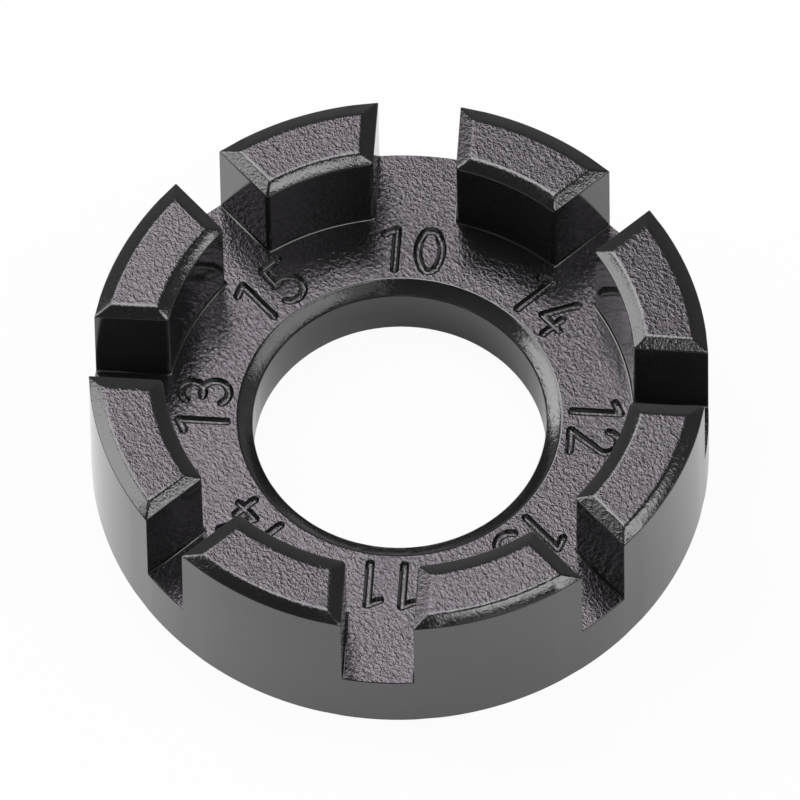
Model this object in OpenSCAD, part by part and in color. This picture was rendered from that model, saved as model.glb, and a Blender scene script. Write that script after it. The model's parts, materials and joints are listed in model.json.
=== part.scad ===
// Round spoke wrench: a flat ring with eight raised jaws and a nipple slot between each pair of jaws.
// Origin on the bore's axis at the underside, +Z up along the bore, +Y out through the slot for gauge 10.

/* [Ring] */
// Outside diameter at the underside
outer_d = 38; // [34:0.5:46]
// Diameter of the bore
bore_d = 18; // [14:0.1:21]
// Height of the floor that carries the numbers and the jaws
floor_h = 4.35; // [3:0.05:7]
// Width of the chamfer round the top of the bore
bore_chamfer_w = 0.9; // [0.2:0.05:1.2]
// Height of the chamfer round the top of the bore
bore_chamfer_h = 0.55; // [0.1:0.05:1.2]

/* [Jaws] */
// Diameter of the circle that the jaws' inner faces lie on
jaw_inner_d = 28.75; // [27.5:0.05:32]
// Height of the jaws above the floor
jaw_h = 6.5; // [3:0.1:10]
// Width of the chamfer round the top of each jaw
jaw_chamfer_w = 0.85; // [0.2:0.05:1]
// Height of the chamfer round the top of each jaw
jaw_chamfer_h = 0.25; // [0.1:0.05:1]
// How far the outside wall leans in from the underside to the top of the jaws
wall_lean = 0.12; // [0.02:0.02:0.5]

/* [Slots] */
// Width of the slot for gauge 10
slot_10_w = 5.1; // [3:0.05:6]
// Width of the slot for gauge 11
slot_11_w = 4.4; // [3:0.05:6]
// Width of the slot for gauge 12
slot_12_w = 3.8; // [3:0.05:6]
// Width of the slot for gauge 13
slot_13_w = 4.2; // [3:0.05:6]
// Width of the wider slot for gauge 14
slot_14_wide_w = 3.7; // [3:0.05:6]
// Width of the narrower slot for gauge 14
slot_14_narrow_w = 3.3; // [3:0.05:6]
// Width of the wider slot for gauge 15
slot_15_wide_w = 3.5; // [3:0.05:6]
// Width of the narrower slot for gauge 15
slot_15_narrow_w = 3.4; // [3:0.05:6]

/* [Numbers] */
// Width of a digit along the middle of its strokes
digit_w = 1.5; // [1:0.05:2]
// Height of a digit along the middle of its strokes
digit_h = 2.95; // [2.4:0.05:3.2]
// Space between the two digits of a number, along the middle of their strokes
digit_gap = 0.6; // [0.55:0.05:1]
// Width of an engraved stroke
stroke_w = 0.5; // [0.3:0.05:0.54]
// Depth of the engraving
engrave_depth = 0.25; // [0.1:0.05:1]
// Space between the bore's chamfer and the lowest stroke of a number
number_margin = 0.4; // [0.2:0.05:0.8]

/* [Hidden] */
$fn = 96;
coating_colour = [0.06, 0.06, 0.065];
outer_r = outer_d / 2;
bore_r = bore_d / 2;
jaw_inner_r = jaw_inner_d / 2;
total_h = floor_h + jaw_h;
number_r = bore_r + bore_chamfer_w + number_margin + stroke_w / 2;
cut_over = 1;
// The round ends of straight and of curved strokes are a hair narrower than the strokes, and strokes
// that run on into each other meet at a slight angle, so that no curve just grazes another line.
stroke_end_d = stroke_w * 0.96;
arc_end_d = stroke_w * 0.92;
join_angle = 12;

// Each slot in turn, anticlockwise seen from above: its gauge and its width.
slots = [
    [10, slot_10_w],
    [15, slot_15_wide_w],
    [13, slot_13_w],
    [14, slot_14_narrow_w],
    [11, slot_11_w],
    [15, slot_15_narrow_w],
    [12, slot_12_w],
    [14, slot_14_wide_w]
];
slot_count = len(slots);
slot_step = 360 / slot_count;
first_slot_angle = 90;

function slot_gauge(i) = slots[i % slot_count][0];
function slot_w(i) = slots[i % slot_count][1];
function slot_angle(i) = first_slot_angle + i * slot_step;
function wall_r(z) = outer_r - wall_lean * z / total_h;
function jaw_name(i) = str("jaw_", slot_gauge(i), "_", slot_gauge(i + 1));

// The flat ring: bore, chamfered rim, floor and engraved gauge numbers.
module base_ring() {
    color(coating_colour)
    difference() {
        rotate_extrude()
        polygon([
            [bore_r, 0],
            [outer_r, 0],
            [wall_r(floor_h), floor_h],
            [bore_r + bore_chamfer_w, floor_h],
            [bore_r, floor_h - bore_chamfer_h]
        ]);
        for (i = [0 : slot_count - 1])
            rotate(slot_angle(i) - 90)
            translate([0, number_r, floor_h - engrave_depth])
            linear_extrude(engrave_depth + cut_over)
            gauge_number(slot_gauge(i));
    }
}

// One jaw, from slot i to the next slot anticlockwise: a piece of a chamfered rim with both slots cut away.
module jaw(i) {
    color(coating_colour)
    intersection() {
        rim();
        rotate(slot_angle(i)) beside_slot(slot_w(i));
        rotate(slot_angle(i + 1)) mirror([0, 1, 0]) beside_slot(slot_w(i + 1));
    }
}

// The whole rim that the jaws are cut from, with its inner and outer chamfers.
module rim() {
    rotate_extrude()
    polygon([
        [jaw_inner_r, floor_h],
        [wall_r(floor_h), floor_h],
        [wall_r(total_h - jaw_chamfer_h), total_h - jaw_chamfer_h],
        [wall_r(total_h) - jaw_chamfer_w, total_h],
        [jaw_inner_r + jaw_chamfer_w, total_h],
        [jaw_inner_r, total_h - jaw_chamfer_h]
    ]);
}

// The space on the left of a slot of width w that runs out along +X, chamfered along the slot's top edge.
module beside_slot(w) {
    reach = outer_r + cut_over;
    rotate([90, 0, 90])
    linear_extrude(reach)
    polygon([
        [w / 2, floor_h - cut_over],
        [reach, floor_h - cut_over],
        [reach, total_h + cut_over],
        [w / 2 + jaw_chamfer_w, total_h + cut_over],
        [w / 2 + jaw_chamfer_w, total_h],
        [w / 2, total_h - jaw_chamfer_h]
    ]);
}

// A number of two digits, standing on the X axis and centred on the Y axis.
module gauge_number(n) {
    translate([-digit_gap / 2 - digit_w, 0]) digit(floor(n / 10));
    translate([digit_gap / 2, 0]) digit(n % 10);
}

// One digit: its strokes' middle lines fill a box from the origin to [digit_w, digit_h].
module digit(d) {
    if (d == 0) digit_0();
    if (d == 1) digit_1();
    if (d == 2) digit_2();
    if (d == 3) digit_3();
    if (d == 4) digit_4();
    if (d == 5) digit_5();
}

// An oval of four arcs: two tight ends and two flat sides, each side centred beyond the opposite side.
module digit_0() {
    half_w = digit_w / 2;
    end_r = half_w * 2 / 3;
    end_y = digit_h / 2 - end_r;
    smooth_r = (half_w * half_w + end_y * end_y - end_r * end_r) / (2 * (half_w - end_r));
    lean = atan2(end_y, smooth_r - half_w) + join_angle;
    join_y = end_y + end_r * sin(lean);
    bulge = half_w - end_r * cos(lean);
    side_r = (join_y * join_y + bulge * bulge) / (2 * bulge);
    side_x = side_r - half_w;
    side_lean = asin(join_y / side_r);
    translate([half_w, digit_h / 2]) {
        arc([0, end_y], end_r, lean, 180 - lean);
        arc([0, -end_y], end_r, 180 + lean, 360 - lean);
        arc([-side_x, 0], side_r, -side_lean, side_lean, 0);
        arc([side_x, 0], side_r, 180 - side_lean, 180 + side_lean, 0);
    }
}

module digit_1() {
    stem_x = digit_w / 2;
    flag_y = digit_h * 0.87;
    stroke([stem_x, 0], [stem_x, digit_h]);
    stroke([stem_x, digit_h], [0, flag_y]);
}

// The bowl runs on into the slanted stroke, which leaves it on the right and ends at the origin.
module digit_2() {
    bowl_r = digit_w / 2;
    bowl_y = digit_h - bowl_r;
    bowl_end = atan2(-bowl_y, -bowl_r) + acos(bowl_r / norm([bowl_r, bowl_y])) + join_angle;
    hook_end = 170;
    arc([bowl_r, bowl_y], bowl_r, bowl_end, hook_end);
    stroke([bowl_r + bowl_r * cos(bowl_end), bowl_y + bowl_r * sin(bowl_end)], [0, 0]);
    stroke([0, 0], [digit_w, 0]);
}

// Two bowls, one on the other, that overlap a little at the waist and run past it on the left.
module digit_3() {
    waist_y = digit_h * 0.54;
    overlap = stroke_w / 10;
    low_r = (waist_y + overlap) / 2;
    high_r = (digit_h - waist_y + overlap) / 2;
    bowl_x = digit_w - low_r;
    hook_end = 150;
    low_start = 90 + join_angle;
    high_start = -90 - 2 * join_angle;
    arc([bowl_x, digit_h - high_r], high_r, high_start, hook_end);
    arc([bowl_x, low_r], low_r, -hook_end, low_start);
}

module digit_4() {
    bar_y = digit_h * 0.29;
    stem_x = digit_w * 0.7;
    stem_top = digit_h * 0.52;
    stroke([stem_x - stroke_w / 4, digit_h], [0, bar_y]);
    stroke([0, bar_y], [digit_w, bar_y]);
    stroke([stem_x, 0], [stem_x, stem_top]);
}

// A top bar, a short stem and a bowl that starts where the stem ends.
module digit_5() {
    bowl_r = digit_h * 0.29;
    bowl_x = digit_w - bowl_r;
    bowl_start = 125;
    hook_end = -145;
    stem_foot = [bowl_x + bowl_r * cos(bowl_start), bowl_r + bowl_r * sin(bowl_start)];
    stem_head = [stem_foot[0] + stroke_w / 5, digit_h];
    stroke(stem_head, [digit_w, digit_h]);
    stroke(stem_head, stem_foot);
    arc([bowl_x, bowl_r], bowl_r, hook_end, bowl_start);
}

// A straight stroke with round ends.
module stroke(a, b) {
    run = b - a;
    translate(a)
    rotate(atan2(run[1], run[0]))
    translate([0, -stroke_w / 2])
    square([norm(run), stroke_w]);
    translate(a) circle(d = stroke_end_d);
    translate(b) circle(d = stroke_end_d);
}

// A curved stroke, anticlockwise round a centre from one angle to another, with round ends of diameter end_d.
module arc(centre, r, from, to, end_d = arc_end_d) {
    sides = 4;
    step = (to - from) / sides;
    reach = (r + stroke_w) / cos(step / 2);
    translate(centre) {
        intersection() {
            difference() {
                circle(r = r + stroke_w / 2);
                circle(r = r - stroke_w / 2);
            }
            polygon(concat(
                [[0, 0]],
                [for (k = [0 : sides]) reach * [cos(from + k * step), sin(from + k * step)]]
            ));
        }
        if (end_d > 0)
            for (end = [from, to]) translate(r * [cos(end), sin(end)]) circle(d = end_d);
    }
}

base_ring();
for (i = [0 : slot_count - 1])
    jaw(i);
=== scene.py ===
import bpy
import bmesh
import json
import math
from mathutils import Matrix, Vector

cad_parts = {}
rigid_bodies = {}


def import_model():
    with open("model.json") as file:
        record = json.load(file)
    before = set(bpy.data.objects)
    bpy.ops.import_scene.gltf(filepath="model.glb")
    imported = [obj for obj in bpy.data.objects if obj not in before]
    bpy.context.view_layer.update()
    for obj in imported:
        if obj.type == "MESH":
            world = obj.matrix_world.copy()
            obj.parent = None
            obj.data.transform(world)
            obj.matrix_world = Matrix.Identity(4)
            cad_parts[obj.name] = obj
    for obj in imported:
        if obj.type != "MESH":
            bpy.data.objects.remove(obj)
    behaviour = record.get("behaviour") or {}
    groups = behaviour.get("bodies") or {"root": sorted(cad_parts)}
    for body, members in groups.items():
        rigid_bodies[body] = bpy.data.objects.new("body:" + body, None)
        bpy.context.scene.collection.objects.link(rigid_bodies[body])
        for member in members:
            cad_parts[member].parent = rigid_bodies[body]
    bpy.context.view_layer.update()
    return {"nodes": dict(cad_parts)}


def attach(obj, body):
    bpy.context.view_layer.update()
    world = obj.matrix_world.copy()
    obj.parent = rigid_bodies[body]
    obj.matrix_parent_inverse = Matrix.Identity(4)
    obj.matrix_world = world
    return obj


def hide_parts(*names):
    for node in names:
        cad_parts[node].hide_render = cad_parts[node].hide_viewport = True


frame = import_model()
scene = bpy.context.scene
scene.view_settings.view_transform = "Standard"
mm = 0.001
mergeGap = 0.001 * mm
sliverGap = 0.0001 * mm
axisUp = Vector((0, 0, 1))
centre = Vector((0, 0, 0))
print("frame loaded with", len(frame["nodes"]), "nodes")

# camera, in mm and degrees

viewpoint = {
    "lens": 630.5,
    "sensor": 36.0,
    "distance": 859.2,
    "azimuth": 4.83,
    "elevation": 58.65,
    "roll": -1.02,
    "lookAt": (0.0, 0.0, 3.62),
    "across": 0.026,
    "upward": 1.378,
}


def makeCamera(view):
    turn = math.radians(view["azimuth"])
    rise = math.radians(view["elevation"])
    roll = math.radians(view["roll"])
    back = Vector((math.sin(turn) * math.cos(rise), -math.cos(turn) * math.cos(rise), math.sin(rise)))
    level = Vector((math.cos(turn), math.sin(turn), 0))
    over = back.cross(level)
    right = math.cos(roll) * level + math.sin(roll) * over
    upright = -math.sin(roll) * level + math.cos(roll) * over
    aim = Vector(view["lookAt"]) + view["across"] * right + view["upward"] * upright
    lens = bpy.data.cameras.new("photoCamera")
    lens.lens = view["lens"]
    lens.sensor_width = view["sensor"]
    camera = bpy.data.objects.new("photoCamera", lens)
    pose = Matrix((right, upright, back)).transposed().to_4x4()
    pose.translation = (aim + back * view["distance"]) * mm
    camera.matrix_world = pose
    scene.collection.objects.link(camera)
    scene.camera = camera


makeCamera(viewpoint)
print("camera placed")

# casting, in mm, with turns in degrees anticlockwise from above

# lean is how many degrees the cast top of the jaw after each slot dips, towards +X and +Y alike
slots = [
    {"gauge": "10", "turn": 90, "width": 5.1, "lean": 0.0},
    {"gauge": "15", "turn": 135, "width": 3.5, "lean": 0.0},
    {"gauge": "13", "turn": 180, "width": 4.2, "lean": 1.1},
    {"gauge": "14", "turn": 225, "width": 3.3, "lean": 1.1},
    {"gauge": "11", "turn": 270, "width": 4.4, "lean": 0.0},
    {"gauge": "15", "turn": 315, "width": 3.4, "lean": 0.0},
    {"gauge": "12", "turn": 360, "width": 3.8, "lean": 1.0},
    {"gauge": "14", "turn": 405, "width": 3.7, "lean": 0.4},
]
slotPitch = 360 / len(slots)

casting = {
    "outerRadius": 19.0,
    "wallLean": 0.12,
    "totalHeight": 10.85,
    "floorHeight": 4.35,
    "boreRadius": 9.0,
    "boreChamferWide": 0.9,
    "boreChamferHigh": 0.55,
    "jawInnerRadius": 14.375,
    "jawChamferWide": 0.85,
    "jawChamferHigh": 0.25,
    "slotColumns": 6,
    "jawColumns": 14,
    "endColumn": 4.2,  # degrees, wide enough for a jaw's chamfer
    "footRound": 0.11,
    "lowerEdgeRound": 0.07,
    "topRound": 0.14,
    "miterRound": 0.12,
    "innerCornerRound": 0.26,
    "outerCornerRound": 0.03,
    "outerEdgeRound": 0.06,
    "rimRound": 0.1,
    "lipRound": 0.12,
    "boreFootRound": 0.28,
    "roundSteps": 4,
    "sharpAngle": 8.0,
    "slack": 0.1,  # for telling the edges apart by height and reach
    "splitAbove": 0.2,
}


def wallRadius(z):
    return casting["outerRadius"] - casting["wallLean"] * z / casting["totalHeight"]


def onRim(point):
    # beyond the middle of the jaws' width
    return point.xy.length > (casting["jawInnerRadius"] + casting["outerRadius"]) / 2 * mm


def makePiece(name, bm, folder=scene.collection):
    mesh = bpy.data.meshes.new(name)
    bm.to_mesh(mesh)
    bm.free()
    piece = bpy.data.objects.new(name, mesh)
    folder.objects.link(piece)
    return piece


def bakedMesh(piece):
    bpy.context.view_layer.update()
    return bpy.data.meshes.new_from_object(piece.evaluated_get(bpy.context.evaluated_depsgraph_get()))


def halfTurn(width, radius):
    return math.degrees(math.asin(width / 2 / radius))


def slotEdges(slot, after, radius):
    # the slot's two walls and the next slot's first wall, as turns on a circle
    return (
        slot["turn"] - halfTurn(slot["width"], radius),
        slot["turn"] + halfTurn(slot["width"], radius),
        slot["turn"] + slotPitch - halfTurn(after["width"], radius),
    )


def meshColumns():
    # turns of each column of the mesh on the jaws' inner circle and on the rim
    slotCount = casting["slotColumns"]
    jawCount = casting["jawColumns"]
    columns = []
    for i, slot in enumerate(slots):
        after = slots[(i + 1) % len(slots)]
        inner = slotEdges(slot, after, casting["jawInnerRadius"])
        outer = slotEdges(slot, after, wallRadius(casting["floorHeight"]))
        for k in range(slotCount):
            t = k / slotCount
            columns.append([a[0] + t * (a[1] - a[0]) for a in (inner, outer)])
        end = casting["endColumn"] / (inner[2] - inner[1])
        for t in [0] + [end + (1 - 2 * end) * k / jawCount for k in range(jawCount + 1)]:
            columns.append([a[1] + t * (a[2] - a[1]) for a in (inner, outer)])
    return columns


def turnOf(point):
    return math.degrees(math.atan2(point.y, point.x))


def turnGap(a, b):
    return (a - b + 180) % 360 - 180


def spinRing(bm, columns):
    floor = casting["floorHeight"]
    bore = casting["boreRadius"]
    outline = [
        (bore, 0),
        (wallRadius(0), 0),
        (wallRadius(floor), floor),
        (casting["jawInnerRadius"], floor),
        (bore + casting["boreChamferWide"], floor),
        (bore, floor - casting["boreChamferHigh"]),
    ]
    corners = [bm.verts.new((r * mm, 0, z * mm)) for r, z in outline]
    sides = [bm.edges.new((corners[k - 1], corners[k])) for k in range(len(corners))]
    start = Matrix.Rotation(math.radians(columns[0][0]), 3, axisUp)
    bmesh.ops.rotate(bm, verts=corners, cent=centre, matrix=start)
    last = corners + sides
    for k in range(len(columns)):
        here = columns[k][0]
        there = columns[k + 1][0] if k + 1 < len(columns) else columns[0][0] + 360
        swept = bmesh.ops.spin(
            bm, geom=last, cent=centre, axis=axisUp, angle=math.radians(there - here), steps=1)
        last = swept["geom_last"]
    bmesh.ops.remove_doubles(bm, verts=bm.verts[:], dist=mergeGap)
    for v in bm.verts:
        if onRim(v.co):
            here = turnOf(v.co)
            inner, outer = min(columns, key=lambda c: abs(turnGap(c[0], here)))
            slide = Matrix.Rotation(math.radians(outer - inner), 3, axisUp)
            bmesh.ops.rotate(bm, verts=[v], cent=centre, matrix=slide)
    bmesh.ops.recalc_face_normals(bm, faces=bm.faces[:])


def jawFoot(bm, i):
    # the faces of the rim's top between slot i and the next one
    floor = casting["floorHeight"] * mm
    inner = slotEdges(slots[i], slots[(i + 1) % len(slots)], casting["jawInnerRadius"])
    found = []
    for f in bm.faces:
        near = [v.co for v in f.verts if not onRim(v.co)]
        level = all(abs(v.co.z - floor) < mergeGap for v in f.verts)
        if level and len(near) == 2:
            here = turnOf(near[0] + near[1])
            if turnGap(here, inner[1]) > 0 and turnGap(inner[2], here) > 0:
                found.append(f)
    return found


def leanTop(corners, slope):
    # the highest corner stays where it is
    reach = {v: (v.co.x + v.co.y) * math.sqrt(0.5) for v in corners}
    highest = min(reach.values())
    for v in corners:
        v.co.z -= slope * (reach[v] - highest)


def raiseJaws(bm):
    floor = casting["floorHeight"]
    shoulder = casting["totalHeight"] - casting["jawChamferHigh"]
    feet = [jawFoot(bm, i) for i in range(len(slots))]
    for slot, foot in zip(slots, feet):
        raised = bmesh.ops.extrude_face_region(bm, geom=foot)["geom"]
        bmesh.ops.delete(bm, geom=[f for f in foot if f.is_valid], context="FACES")
        points = [g for g in raised if isinstance(g, bmesh.types.BMVert)]
        tops = [g for g in raised if isinstance(g, bmesh.types.BMFace)]
        bmesh.ops.translate(bm, verts=points, vec=(0, 0, (shoulder - floor) * mm))
        rim = [v for v in points if onRim(v.co)]
        taper = wallRadius(shoulder) / wallRadius(floor)
        bmesh.ops.scale(bm, verts=rim, vec=(taper, taper, 1))
        bmesh.ops.inset_region(
            bm, faces=tops, thickness=casting["jawChamferWide"] * mm, depth=casting["jawChamferHigh"] * mm,
            use_boundary=True, use_even_offset=True)
        leanTop({v for f in tops for v in f.verts}, math.tan(math.radians(slot["lean"])))
    bmesh.ops.recalc_face_normals(bm, faces=bm.faces[:])


def edgeRounding(e):
    # how far the rounding of an edge reaches, in mm
    slack = casting["slack"]
    ends = [v.co / mm for v in e.verts]
    rise = abs(ends[0].z - ends[1].z)
    top = max(p.z for p in ends)
    reach = [p.xy.length for p in ends]
    if max(reach) < casting["boreRadius"] + casting["boreChamferWide"] + slack:
        if top < slack:
            return casting["boreFootRound"]
        return casting["rimRound"] if top > casting["floorHeight"] - slack else casting["lipRound"]
    if rise > casting["jawChamferHigh"] + slack:
        return casting["outerCornerRound"] if onRim(e.verts[0].co) else casting["innerCornerRound"]
    if top > casting["totalHeight"] - casting["jawChamferHigh"] / 2:
        return casting["miterRound"] if rise > slack else casting["topRound"]
    if min(reach) > wallRadius(casting["totalHeight"]) - slack:
        return casting["outerEdgeRound"]
    return casting["lowerEdgeRound"] if top > casting["floorHeight"] + slack else casting["footRound"]


def softenEdges(bm):
    widest = max(size for name, size in casting.items() if name.endswith("Round"))
    limit = math.radians(casting["sharpAngle"])
    weight = bm.edges.layers.float.new("bevel_weight_edge")
    for e in bm.edges:
        if e.is_manifold and e.calc_face_angle() > limit:
            e[weight] = edgeRounding(e) / widest
    rough = makePiece("roughCasting", bm)
    soften = rough.modifiers.new("soften", "BEVEL")
    soften.limit_method = "WEIGHT"
    soften.width = widest * mm
    soften.segments = casting["roundSteps"]
    soften.profile = 0.5
    soften.miter_inner = "MITER_SHARP"
    done = bakedMesh(rough)
    bm = bmesh.new()
    bm.from_mesh(done)
    bpy.data.objects.remove(rough)
    bmesh.ops.remove_doubles(bm, verts=bm.verts[:], dist=mergeGap)
    bmesh.ops.recalc_face_normals(bm, faces=bm.faces[:])
    return bm


def cutLevel(bm, keepBelow):
    # cuts the casting just above the jaws' foot roundings and closes the cut
    level = (casting["floorHeight"] + casting["splitAbove"]) * mm
    everything = bm.verts[:] + bm.edges[:] + bm.faces[:]
    bmesh.ops.bisect_plane(
        bm, geom=everything, dist=mergeGap, plane_co=(0, 0, level), plane_no=axisUp,
        clear_outer=keepBelow, clear_inner=not keepBelow)
    rims = [e for e in bm.edges if e.is_boundary]
    bmesh.ops.holes_fill(bm, edges=rims, sides=0)
    for e in rims:
        e.smooth = False
    bmesh.ops.recalc_face_normals(bm, faces=bm.faces[:])


whole = bmesh.new()
spinRing(whole, meshColumns())
raiseJaws(whole)
whole = softenEdges(whole)
openEdges = sum(1 for e in whole.edges if not e.is_manifold)
print("casting shaped,", len(whole.faces), "faces, open edges:", openEdges)

# finishes, all of one black coat

coat = {
    "dark": (0.010, 0.0098, 0.0105, 1.0),
    "light": (0.016, 0.0155, 0.0165, 1.0),
    "ior": 1.7,
    "smoothGloss": 0.10,
    "grainGloss": 0.17,
    "glossSpread": 0.06,
    "grainSize": (0.29, 0.21, 0.24),
    "grainTurn": -48.0,
    "grainDetail": 2.0,
    "grainHarshness": 0.5,
    "grainSwirl": 0.7,
    "grainRange": (0.32, 0.66),  # what the noise mostly keeps to
    "grainHeight": 2.8e-5,
    "leastGrain": 0.02,
    "chamferGrain": 0.42,
    "grainTint": (1.0, 0.9, 1.0, 1.0),
}


def makeCoat(name, grain):
    # grain goes from 0 for the smooth walls to 1 for the cast floor
    material = bpy.data.materials.new(name)
    material.use_nodes = True
    nodes = material.node_tree.nodes
    links = material.node_tree.links
    shader = nodes["Principled BSDF"]
    shader.inputs["IOR"].default_value = coat["ior"]
    if grain == 1:
        shader.inputs["Specular Tint"].default_value = coat["grainTint"]
    where = nodes.new("ShaderNodeTexCoord")
    stretch = nodes.new("ShaderNodeMapping")
    stretch.vector_type = "TEXTURE"
    stretch.inputs["Rotation"].default_value = (0.0, 0.0, math.radians(coat["grainTurn"]))
    stretch.inputs["Scale"].default_value = [size * mm for size in coat["grainSize"]]
    relief = nodes.new("ShaderNodeTexNoise")
    relief.inputs["Scale"].default_value = 1.0
    relief.inputs["Detail"].default_value = coat["grainDetail"]
    relief.inputs["Roughness"].default_value = coat["grainHarshness"]
    relief.inputs["Distortion"].default_value = coat["grainSwirl"]
    links.new(where.outputs["Object"], stretch.inputs["Vector"])
    links.new(stretch.outputs["Vector"], relief.inputs["Vector"])
    gloss = nodes.new("ShaderNodeMapRange")
    gloss.inputs["From Min"].default_value = coat["grainRange"][0]
    gloss.inputs["From Max"].default_value = coat["grainRange"][1]
    level = coat["smoothGloss"] + grain * (coat["grainGloss"] - coat["smoothGloss"])
    gloss.inputs["To Min"].default_value = level + coat["glossSpread"] / 2
    gloss.inputs["To Max"].default_value = level - coat["glossSpread"] / 2
    links.new(relief.outputs["Fac"], gloss.inputs["Value"])
    links.new(gloss.outputs["Result"], shader.inputs["Roughness"])
    tone = nodes.new("ShaderNodeMix")
    tone.data_type = "RGBA"
    tone.inputs["A"].default_value = coat["dark"]
    tone.inputs["B"].default_value = coat["light"]
    links.new(relief.outputs["Fac"], tone.inputs["Factor"])
    links.new(tone.outputs["Result"], shader.inputs["Base Color"])
    bump = nodes.new("ShaderNodeBump")
    share = coat["leastGrain"] + (1 - coat["leastGrain"]) * grain
    bump.inputs["Distance"].default_value = coat["grainHeight"] * share
    links.new(relief.outputs["Fac"], bump.inputs["Height"])
    links.new(bump.outputs["Normal"], shader.inputs["Normal"])
    return material


smooth, grained, chamfered = range(3)  # the finishes' places on each piece
finishes = [
    makeCoat("smoothCoat", 0.0),
    makeCoat("grainedCoat", 1.0),
    makeCoat("chamferCoat", coat["chamferGrain"]),
]
print("finishes made")

# engraved numbers, each stroke swept with one groove section, in mm and degrees

engraving = {
    "margin": 0.65,  # from the bore's chamfer to the middle of the lowest stroke
    "drawnAt": 90,  # the turn at which digits stand upright along +Y
    "gap": 0.6,
    "wide": 1.5,
    "high": 2.95,
    "zeroEnd": 0.5,
    "oneFlag": 2.57,
    "twoHook": 170.0,
    "threeLow": 0.822,
    "threeHigh": 0.704,
    "threeHook": 150.0,
    "threeWaist": (-114.0, 102.0),
    "fourBar": 0.856,
    "fourStem": 1.05,
    "fourStemTop": 1.534,
    "fourSlantTop": 0.925,
    "fiveBowl": 0.856,
    "fiveTurns": (-145.0, 125.0),
    "fiveStemLean": 0.1,
    "overlap": 0.5,  # degrees that an arc runs on into the next stroke
    "section": [
        (0.34, 0.06), (0.29, 0.0), (0.25, -0.05), (0.15, -0.19),
        (0.1, -0.225), (0.05, -0.23), (0.0, -0.23),
    ],
    "stepRun": 0.2,
    "stepTurn": 10.0,
    "ballSteps": 20,
    "ballScale": 0.985,
    "endGap": 0.05,  # ends that lie closer share one ball
}


def arcPoint(middle, radius, turn):
    way = math.radians(turn)
    return (middle[0] + radius * math.cos(way), middle[1] + radius * math.sin(way))


def zeroStrokes(wide, high):
    # two tight ends and two flat sides that run on into each other
    end = engraving["zeroEnd"]
    rise = high / 2 - end
    side = ((wide / 2) ** 2 + rise ** 2 - end ** 2) / (wide - 2 * end)
    turn = math.degrees(math.atan2(rise, side - wide / 2))
    start = turn - engraving["overlap"]
    return [
        ("arc", (wide / 2, high - end), end, start, 180 - start),
        ("arc", (wide / 2, end), end, 180 + start, 360 - start),
        ("arc", (wide - side, high / 2), side, -turn, turn),
        ("arc", (side, high / 2), side, 180 - turn, 180 + turn),
    ]


def oneStrokes(wide, high):
    head = (wide / 2, high)
    return [("line", (wide / 2, 0.0), head), ("line", head, (0.0, engraving["oneFlag"]))]


def twoStrokes(wide, high):
    # the bowl runs on into the slanted stroke
    bowl = wide / 2
    middle = (bowl, high - bowl)
    leave = math.degrees(math.acos(bowl / math.hypot(*middle)) - math.atan2(middle[1], -middle[0]))
    return [
        ("arc", middle, bowl, leave - engraving["overlap"], engraving["twoHook"]),
        ("line", arcPoint(middle, bowl, leave), (0.0, 0.0)),
        ("line", (0.0, 0.0), (wide, 0.0)),
    ]


def threeStrokes(wide, high):
    # two bowls that overlap a little at the waist
    low = engraving["threeLow"]
    upper = engraving["threeHigh"]
    hook = engraving["threeHook"]
    begin, finish = engraving["threeWaist"]
    return [
        ("arc", (wide - low, high - upper), upper, begin, hook),
        ("arc", (wide - low, low), low, -hook, finish),
    ]


def fourStrokes(wide, high):
    bar = engraving["fourBar"]
    stem = engraving["fourStem"]
    return [
        ("line", (engraving["fourSlantTop"], high), (0.0, bar)),
        ("line", (0.0, bar), (wide, bar)),
        ("line", (stem, 0.0), (stem, engraving["fourStemTop"])),
    ]


def fiveStrokes(wide, high):
    # the bowl starts where the short stem ends
    bowl = engraving["fiveBowl"]
    middle = (wide - bowl, bowl)
    begin, finish = engraving["fiveTurns"]
    foot = arcPoint(middle, bowl, finish)
    head = (foot[0] + engraving["fiveStemLean"], high)
    return [("line", head, (wide, high)), ("line", head, foot), ("arc", middle, bowl, begin, finish)]


digitStrokes = {
    "0": zeroStrokes,
    "1": oneStrokes,
    "2": twoStrokes,
    "3": threeStrokes,
    "4": fourStrokes,
    "5": fiveStrokes,
}


def sectionFace(bm, at, across):
    # the groove's full section, standing on the floor's plane
    half = engraving["section"]
    full = half + [(-x, z) for x, z in reversed(half[:-1])]
    corners = [bm.verts.new((at + across * x + axisUp * z) * mm) for x, z in full]
    return bm.faces.new(corners)


def lineGroove(bm, a, b):
    a, b = Vector((*a, 0)), Vector((*b, 0))
    across = (b - a).normalized().cross(axisUp)
    face = sectionFace(bm, a, across)
    steps = math.ceil((b - a).length / engraving["stepRun"])
    bmesh.ops.spin(
        bm, geom=[face] + face.edges[:] + face.verts[:], cent=a * mm, axis=axisUp,
        dvec=(b - a) * mm / steps, angle=0, steps=steps)


def arcGroove(bm, middle, radius, begin, finish):
    middle = Vector((*middle, 0))
    out = Vector((*arcPoint((0, 0), 1, begin), 0))
    face = sectionFace(bm, middle + out * radius, out)
    steps = math.ceil((finish - begin) / engraving["stepTurn"])
    bmesh.ops.spin(
        bm, geom=[face] + face.edges[:] + face.verts[:], cent=middle * mm, axis=axisUp,
        angle=math.radians(finish - begin), steps=steps)


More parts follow.
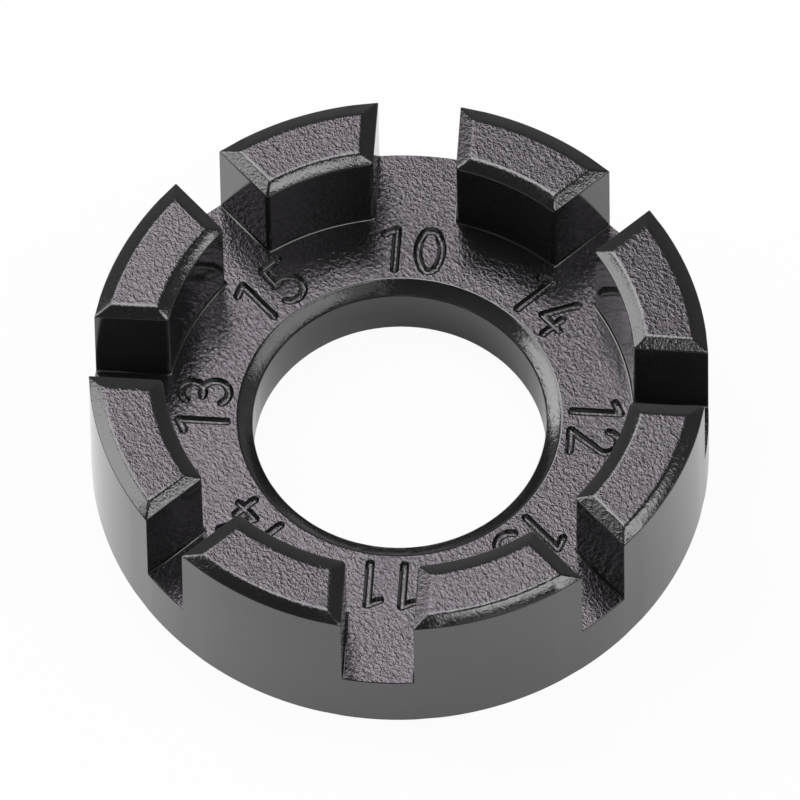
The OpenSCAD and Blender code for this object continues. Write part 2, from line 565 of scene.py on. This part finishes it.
def endGroove(bm, at):
    # a ball turned by half a step, so that none of its corners lies on a stroke's flat end
    at = Vector((*at, 0))
    out = Vector((*arcPoint((0, 0), 1, 180 / engraving["ballSteps"]), 0))
    half = [(0.0, engraving["section"][0][1])] + engraving["section"]
    shrink = engraving["ballScale"]
    corners = [bm.verts.new((at + (out * x + axisUp * z) * shrink) * mm) for x, z in half]
    sides = [bm.edges.new((corners[k], corners[k + 1])) for k in range(len(corners) - 1)]
    bmesh.ops.spin(
        bm, geom=corners + sides, cent=at * mm, axis=axisUp, angle=math.tau, steps=engraving["ballSteps"],
        use_merge=True)
    bmesh.ops.remove_doubles(bm, verts=bm.verts[:], dist=mergeGap)


def strokeEnds(stroke):
    if stroke[0] == "line":
        return [stroke[1], stroke[2]]
    middle, radius, turns = stroke[1], stroke[2], stroke[3:]
    return [arcPoint(middle, radius, turn) for turn in turns]


def addCutter(folder, place, make, *values):
    bm = bmesh.new()
    make(bm, *values)
    bmesh.ops.transform(bm, matrix=place, verts=bm.verts[:])
    bmesh.ops.recalc_face_normals(bm, faces=bm.faces[:])
    makePiece("groove", bm, folder)


def addDigit(folder, place, digit):
    ends = []
    for stroke in digitStrokes[digit](engraving["wide"], engraving["high"]):
        make = lineGroove if stroke[0] == "line" else arcGroove
        addCutter(folder, place, make, *stroke[1:])
        for end in strokeEnds(stroke):
            if all(math.dist(end, other) > engraving["endGap"] for other in ends):
                ends.append(end)
    for end in ends:
        addCutter(folder, place, endGroove, end)


def makeCutters():
    folder = bpy.data.collections.new("grooves")
    scene.collection.children.link(folder)
    foot = casting["boreRadius"] + casting["boreChamferWide"] + engraving["margin"]
    for slot in slots:
        turn = Matrix.Rotation(math.radians(slot["turn"] - engraving["drawnAt"]), 4, axisUp)
        for k, digit in enumerate(slot["gauge"]):
            left = engraving["gap"] / 2 if k else -engraving["gap"] / 2 - engraving["wide"]
            home = Vector((left, foot, casting["floorHeight"])) * mm
            addDigit(folder, turn @ Matrix.Translation(home), digit)
    return folder


def engrave(piece):
    folder = makeCutters()
    cut = piece.modifiers.new("numbers", "BOOLEAN")
    cut.operation = "DIFFERENCE"
    cut.operand_type = "COLLECTION"
    cut.collection = folder
    cut.solver = "EXACT"
    bm = bmesh.new()
    bm.from_mesh(bakedMesh(piece))
    bmesh.ops.remove_doubles(bm, verts=bm.verts[:], dist=sliverGap)
    bmesh.ops.dissolve_degenerate(bm, edges=bm.edges[:], dist=sliverGap)
    piece.modifiers.clear()
    bm.to_mesh(piece.data)
    bm.free()
    for groove in folder.objects[:]:
        bpy.data.objects.remove(groove)
    bpy.data.collections.remove(folder)


# pieces

# parts of a face's normal that tell level faces, chamfers and the way that a chamfer looks
facing = {
    "level": 0.9994,
    "jawChamfer": 0.95,
    "boreChamfer": 0.6,
    "sideways": 0.02,
}


def faceFinish(face):
    # grain on the floor, the jaws' tops and the chamfers that look straight towards -X
    shoulder = (casting["totalHeight"] - casting["jawChamferHigh"]) * mm
    rim = (casting["boreRadius"] + casting["boreChamferWide"]) * mm
    if face.normal.z > facing["level"]:
        return grained
    if face.normal.z > facing["jawChamfer"] and face.center.z > shoulder:
        leftwards = face.normal.x < -facing["sideways"] and abs(face.normal.y) < facing["sideways"]
        return grained if leftwards else chamfered
    if face.normal.z > facing["boreChamfer"] and face.center.xy.length < rim:
        return chamfered
    return smooth


def finishPiece(piece, node):
    mesh = piece.data
    mesh.materials.clear()
    for finish in finishes:
        mesh.materials.append(finish)
    for face in mesh.polygons:
        face.material_index = faceFinish(face)
        face.use_smooth = face.normal.z < facing["level"]
    even = piece.modifiers.new("evenNormals", "WEIGHTED_NORMAL")
    even.mode = "FACE_AREA"
    even.keep_sharp = True
    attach(piece, "root")
    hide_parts(node)


ringPart = whole.copy()
cutLevel(ringPart, True)
ringBody = makePiece("ringBody", ringPart)
engrave(ringBody)
finishPiece(ringBody, "base_ring")
print("ring finished")

for i, slot in enumerate(slots):
    pair = slot["gauge"] + "_" + slots[(i + 1) % len(slots)]["gauge"]
    jawPart = whole.copy()
    cutLevel(jawPart, False)
    middle = slot["turn"] + slotPitch / 2
    others = [v for v in jawPart.verts if abs(turnGap(turnOf(v.co), middle)) > slotPitch / 2]
    bmesh.ops.delete(jawPart, geom=others, context="VERTS")
    jawBlock = makePiece("jawBlock_" + pair, jawPart)
    finishPiece(jawBlock, "jaw_" + pair)
whole.free()
print("jaws finished")

# stage and light

studio = {
    "floorWhite": 0.9,
    "floorShow": 0.95,
    "floorGloss": 1.0,
    # painted shade: in reflections the floor's plain white falls to this share around the middle below,
    # and rises to the full share at the clear reach
    "paintedShadeGloss": 0.15,
    "paintedShadeMiddle": (5.0, 2.5, 0.0),  # in mm, as the two reaches and the gap are
    "paintedShadeReach": 5.0,
    "clearReach": 27.0,
    "floorGap": 0.01,
    "floorSize": 4.0,  # in metres
    "zenith": 0.03,
    "horizon": 0.62,
    "horizonReach": 0.95,
}

# spreads in degrees as seen from the wrench, the first of them along the lamp, distances in metres
softboxes = [
    {
        "name": "backBox",
        "shape": "RECTANGLE",
        "towards": (-0.136, 0.427, 0.894),
        "along": (-0.68, -0.68, 0.28),
        "spread": (16.2, 25.7),
        "distance": 1.2,
        "radiance": 5.4,
    },
    {
        "name": "leftBox",
        "shape": "RECTANGLE",
        "towards": (-0.551, 0.293, 0.781),
        "along": (0.09, -0.37, 0.21),
        "spread": (23.8, 24.2),
        "distance": 1.2,
        "radiance": 4.0,
    },
    {
        "name": "rightBox",
        "shape": "RECTANGLE",
        "towards": (0.3, 0.09, 0.95),
        "along": (0.87, 0.494, -0.321),
        "spread": (29.2, 10.2),
        "distance": 0.4,
        "radiance": 4.8,
    },
    {
        "name": "leftLowBox",
        "shape": "ELLIPSE",
        "towards": (-0.811, 0.244, 0.532),
        "along": (0.067, -0.891, 0.449),
        "spread": (42.0, 16.0),
        "distance": 1.2,
        "radiance": 4.8,
    },
    {
        "name": "rightLowBox",
        "shape": "ELLIPSE",
        "towards": (0.658, -0.089, 0.749),
        "along": (0.475, 0.823, -0.309),
        "spread": (50.0, 17.0),
        "distance": 1.2,
        "radiance": 2.1,
    },
    {
        "name": "topBox",
        "shape": "RECTANGLE",
        "towards": (0.30, -0.33, 0.895),
        "along": (1.0, 0.0, -0.335),
        "spread": (18.0, 26.0),
        "distance": 1.2,
        "radiance": 0.7,
    },
]


def shownShare(nodes, links):
    # how much of the plain white the camera, gloss and glass see in place of the lit floor; for gloss this
    # is painted shade, with the white fading out towards a point under the wrench so the shadowed paper
    # shows there
    path = nodes.new("ShaderNodeLightPath")
    where = nodes.new("ShaderNodeTexCoord")
    away = nodes.new("ShaderNodeVectorMath")
    away.operation = "DISTANCE"
    away.inputs[1].default_value = Vector(studio["paintedShadeMiddle"]) * mm
    gloss = nodes.new("ShaderNodeMapRange")
    gloss.inputs["From Min"].default_value = studio["paintedShadeReach"] * mm
    gloss.inputs["From Max"].default_value = studio["clearReach"] * mm
    gloss.inputs["To Min"].default_value = studio["paintedShadeGloss"]
    gloss.inputs["To Max"].default_value = studio["floorGloss"]
    seen = nodes.new("ShaderNodeMath")
    seen.operation = "MAXIMUM"
    plain = nodes.new("ShaderNodeMath")
    plain.operation = "MULTIPLY"
    plain.inputs[1].default_value = studio["floorShow"]
    share = nodes.new("ShaderNodeMath")
    share.operation = "MULTIPLY_ADD"
    links.new(where.outputs["Object"], away.inputs[0])
    links.new(away.outputs["Value"], gloss.inputs["Value"])
    links.new(path.outputs["Is Camera Ray"], seen.inputs[0])
    links.new(path.outputs["Is Transmission Ray"], seen.inputs[1])
    links.new(seen.outputs[0], plain.inputs[0])
    links.new(path.outputs["Is Glossy Ray"], share.inputs[0])
    links.new(gloss.outputs["Result"], share.inputs[1])
    links.new(plain.outputs[0], share.inputs[2])
    return share.outputs[0]


def makeFloor():
    bm = bmesh.new()
    bmesh.ops.create_grid(bm, x_segments=1, y_segments=1, size=studio["floorSize"] / 2)
    bmesh.ops.translate(bm, verts=bm.verts[:], vec=(0, 0, -studio["floorGap"] * mm))
    floor = makePiece("studioFloor", bm)
    material = bpy.data.materials.new("studioFloor")
    material.use_nodes = True
    nodes = material.node_tree.nodes
    links = material.node_tree.links
    nodes.clear()
    out = nodes.new("ShaderNodeOutputMaterial")
    mix = nodes.new("ShaderNodeMixShader")
    paper = nodes.new("ShaderNodeBsdfDiffuse")
    white = nodes.new("ShaderNodeEmission")
    paper.inputs["Color"].default_value = (studio["floorWhite"],) * 3 + (1.0,)
    links.new(shownShare(nodes, links), mix.inputs["Fac"])
    links.new(paper.outputs[0], mix.inputs[1])
    links.new(white.outputs[0], mix.inputs[2])
    links.new(mix.outputs[0], out.inputs["Surface"])
    floor.data.materials.append(material)


def makeWorld():
    # light from all round, bright at the horizon and dim overhead
    world = bpy.data.worlds.new("studioWorld")
    scene.world = world
    world.use_nodes = True
    nodes = world.node_tree.nodes
    links = world.node_tree.links
    nodes.clear()
    out = nodes.new("ShaderNodeOutputWorld")
    room = nodes.new("ShaderNodeBackground")
    where = nodes.new("ShaderNodeTexCoord")
    height = nodes.new("ShaderNodeSeparateXYZ")
    fade = nodes.new("ShaderNodeMapRange")
    fade.inputs["From Max"].default_value = studio["horizonReach"]
    fade.inputs["To Min"].default_value = studio["horizon"]
    fade.inputs["To Max"].default_value = studio["zenith"]
    links.new(where.outputs["Generated"], height.inputs[0])
    links.new(height.outputs["Z"], fade.inputs["Value"])
    links.new(fade.outputs["Result"], room.inputs["Strength"])
    room.inputs["Color"].default_value = (1.0, 1.0, 1.0, 1.0)
    links.new(room.outputs[0], out.inputs["Surface"])


def makeSoftbox(box):
    lamp = bpy.data.lights.new(box["name"], "AREA")
    lamp.shape = box["shape"]
    run, width = [2 * box["distance"] * math.tan(math.radians(turn / 2)) for turn in box["spread"]]
    lamp.size = run
    lamp.size_y = width
    share = math.pi / 4 if box["shape"] == "ELLIPSE" else 1.0
    lamp.energy = box["radiance"] * math.pi * run * width * share
    towards = Vector(box["towards"]).normalized()
    across = towards.cross(Vector(box["along"])).normalized()
    pose = Matrix((across.cross(towards), across, towards)).transposed().to_4x4()
    pose.translation = towards * box["distance"]
    holder = bpy.data.objects.new(box["name"], lamp)
    holder.matrix_world = pose
    scene.collection.objects.link(holder)


makeFloor()
makeWorld()
for box in softboxes:
    makeSoftbox(box)
print("stage lit")
